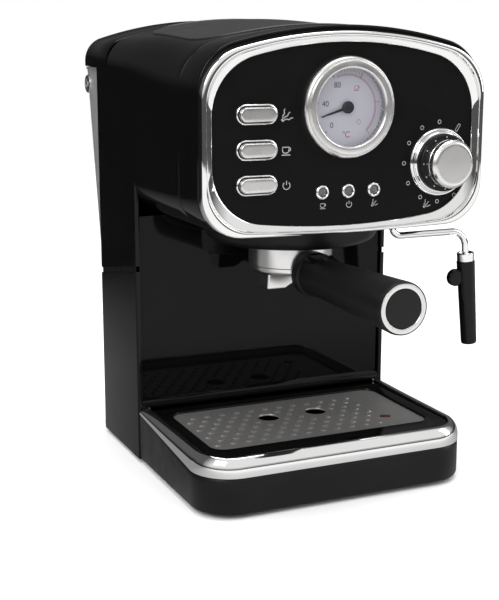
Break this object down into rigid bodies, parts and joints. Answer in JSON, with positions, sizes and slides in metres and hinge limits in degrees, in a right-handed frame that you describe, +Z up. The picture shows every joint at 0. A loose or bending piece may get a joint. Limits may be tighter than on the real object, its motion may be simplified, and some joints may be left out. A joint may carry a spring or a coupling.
{
  "type": "espresso machine",
  "caption": "Pump espresso machine with a crowned chrome-framed front, portafilter, steam wand, drip tray and rear water tank.",
  "frame": {"origin": "on the table, under the middle of the whole part's box: 14.4 mm to the right of the body's middle (the wand reaches out there) and 99 mm behind the front of the drip tray", "axes": "+X to the machine's right as seen by the user, +Y to the rear, +Z up"},
  "size_m": [0.2328, 0.3379, 0.316],
  "materials": {
    "black_gloss": "high gloss black moulding",
    "black_satin": "satin black moulding",
    "fascia_black": "fine satin black paint",
    "handle_black": "matt black bakelite",
    "chrome": "polished plating",
    "satin_chrome": "satin plating",
    "steel": "brushed stainless",
    "alloy": "cast",
    "brass": "machined",
    "rubber": "matt",
    "hose": "translucent silicone",
    "dial_white": "printed matt dial",
    "lens_clear": "clear",
    "lamp_lens": "smoked lens",
    "tank_clear": "smoked clear plastic",
    "float_red": "red moulding",
    "board": "circuit board",
    "plate_grey": "dark grey enamel"
  },
  "bodies": {
    "housing": {"lower_housing": "black_gloss", "upper_housing": "black_gloss", "seam_band": "black_satin", "rear_cover": "black_satin", "backsplash": "black_gloss", "group_shroud": "black_satin", "front_cover": "black_gloss", "chrome_bezel": "chrome", "fascia": "fascia_black", "gauge_bezel": "chrome", "gauge_glass": "lens_clear", "gauge_dial": "dial_white", "gauge_can": "steel", "button_bezels": "chrome", "switch_board": "board", "indicator_rings": "chrome", "indicator_lenses": "lamp_lens", "knob_base_ring": "chrome", "steam_valve": "brass", "group_head": "alloy", "group_gasket": "rubber", "shower_screen": "steel", "shower_screw": "steel", "wand_nut": "black_satin", "base_plate": "black_satin", "rubber_feet": "rubber", "base_screws": "steel", "cup_plate": "plate_grey", "lid_pin": "steel", "boiler": "alloy", "pump": "black_satin", "water_hoses": "hose", "cable_gland": "black_satin"},
    "steam_button": {"steam_button": "satin_chrome"},
    "brew_button": {"brew_button": "satin_chrome"},
    "power_button": {"power_button": "satin_chrome"},
    "steam_knob": {"knob_skirt": "black_satin", "knob_cap": "satin_chrome", "valve_spindle": "brass"},
    "needle": {"gauge_needle": "black_satin"},
    "portafilter": {"portafilter_ring": "satin_chrome", "filter_basket": "steel", "coffee_spout": "satin_chrome", "clip_pin": "steel", "handle_grip": "handle_black", "handle_ring": "chrome", "handle_cap": "handle_black", "handle_bolt": "steel"},
    "filter_clip": {"filter_clip": "handle_black"},
    "steam_wand": {"steam_pipe": "chrome"},
    "frother": {"frother_sleeve": "black_gloss", "frother_collar": "chrome"},
    "drip_tray": {"drip_tray": "black_gloss", "tray_trim": "chrome", "tray_frame": "black_gloss"},
    "grate": {"drip_grate": "steel"},
    "float": {"level_float": "float_red"},
    "tank": {"water_tank": "tank_clear", "tank_rim": "black_satin"},
    "tank_lid": {"tank_lid": "black_gloss"}
  },
  "joints": [
    {"name": "steam_button_push", "type": "slide", "parent": "housing", "child": "steam_button", "axis": [0, 1, 0], "range_m": [0, 0.0025], "stiffness_N_per_m": 600, "springref_m": -0.002},
    {"name": "brew_button_push", "type": "slide", "parent": "housing", "child": "brew_button", "axis": [0, 1, 0], "range_m": [0, 0.0025], "stiffness_N_per_m": 600, "springref_m": -0.002},
    {"name": "power_button_push", "type": "slide", "parent": "housing", "child": "power_button", "axis": [0, 1, 0], "range_m": [0, 0.0025], "stiffness_N_per_m": 600, "springref_m": -0.002},
    {"name": "knob_turn", "type": "hinge", "parent": "housing", "child": "steam_knob", "pos_m": [0.05507, -0.104, 0.227], "axis": [0, -1, 0], "range_deg": [-240, 0]},
    {"name": "needle_swing", "type": "hinge", "parent": "housing", "child": "needle", "pos_m": [-0.01443, -0.094, 0.2645], "axis": [0, 1, 0], "range_deg": [-28, 242]},
    {"name": "portafilter_lock", "type": "hinge", "parent": "housing", "child": "portafilter", "pos_m": [-0.01443, -0.011, 0.16], "axis": [0, 0, 1], "range_deg": [-50, 0]},
    {"name": "clip_flip", "type": "hinge", "parent": "portafilter", "child": "filter_clip", "pos_m": [-0.01443, -0.057, 0.1605], "axis": [-1, 0, 0], "range_deg": [0, 12]},
    {"name": "wand_swivel", "type": "hinge", "parent": "housing", "child": "steam_wand", "pos_m": [0.04357, -0.054, 0.172], "axis": [0, 0, 1], "range_deg": [-70, 30]},
    {"name": "frother_pull", "type": "slide", "parent": "steam_wand", "child": "frother", "axis": [0.0872, 0, -0.9962], "range_m": [0, 0.03]},
    {"name": "tray_slide", "type": "slide", "parent": "housing", "child": "drip_tray", "axis": [0, -1, 0], "range_m": [0, 0.14]},
    {"name": "grate_lift", "type": "slide", "parent": "drip_tray", "child": "grate", "axis": [0, 0, 1], "range_m": [0, 0.06]},
    {"name": "float_rise", "type": "slide", "parent": "drip_tray", "child": "float", "axis": [0, 0, 1], "range_m": [0, 0.006]},
    {"name": "tank_slide", "type": "slide", "parent": "housing", "child": "tank", "axis": [0, 1, 0], "range_m": [0, 0.12]},
    {"name": "lid_hinge", "type": "hinge", "parent": "housing", "child": "tank_lid", "pos_m": [-0.01443, 0.107, 0.312], "axis": [1, 0, 0], "range_deg": [0, 75]}
  ]
}
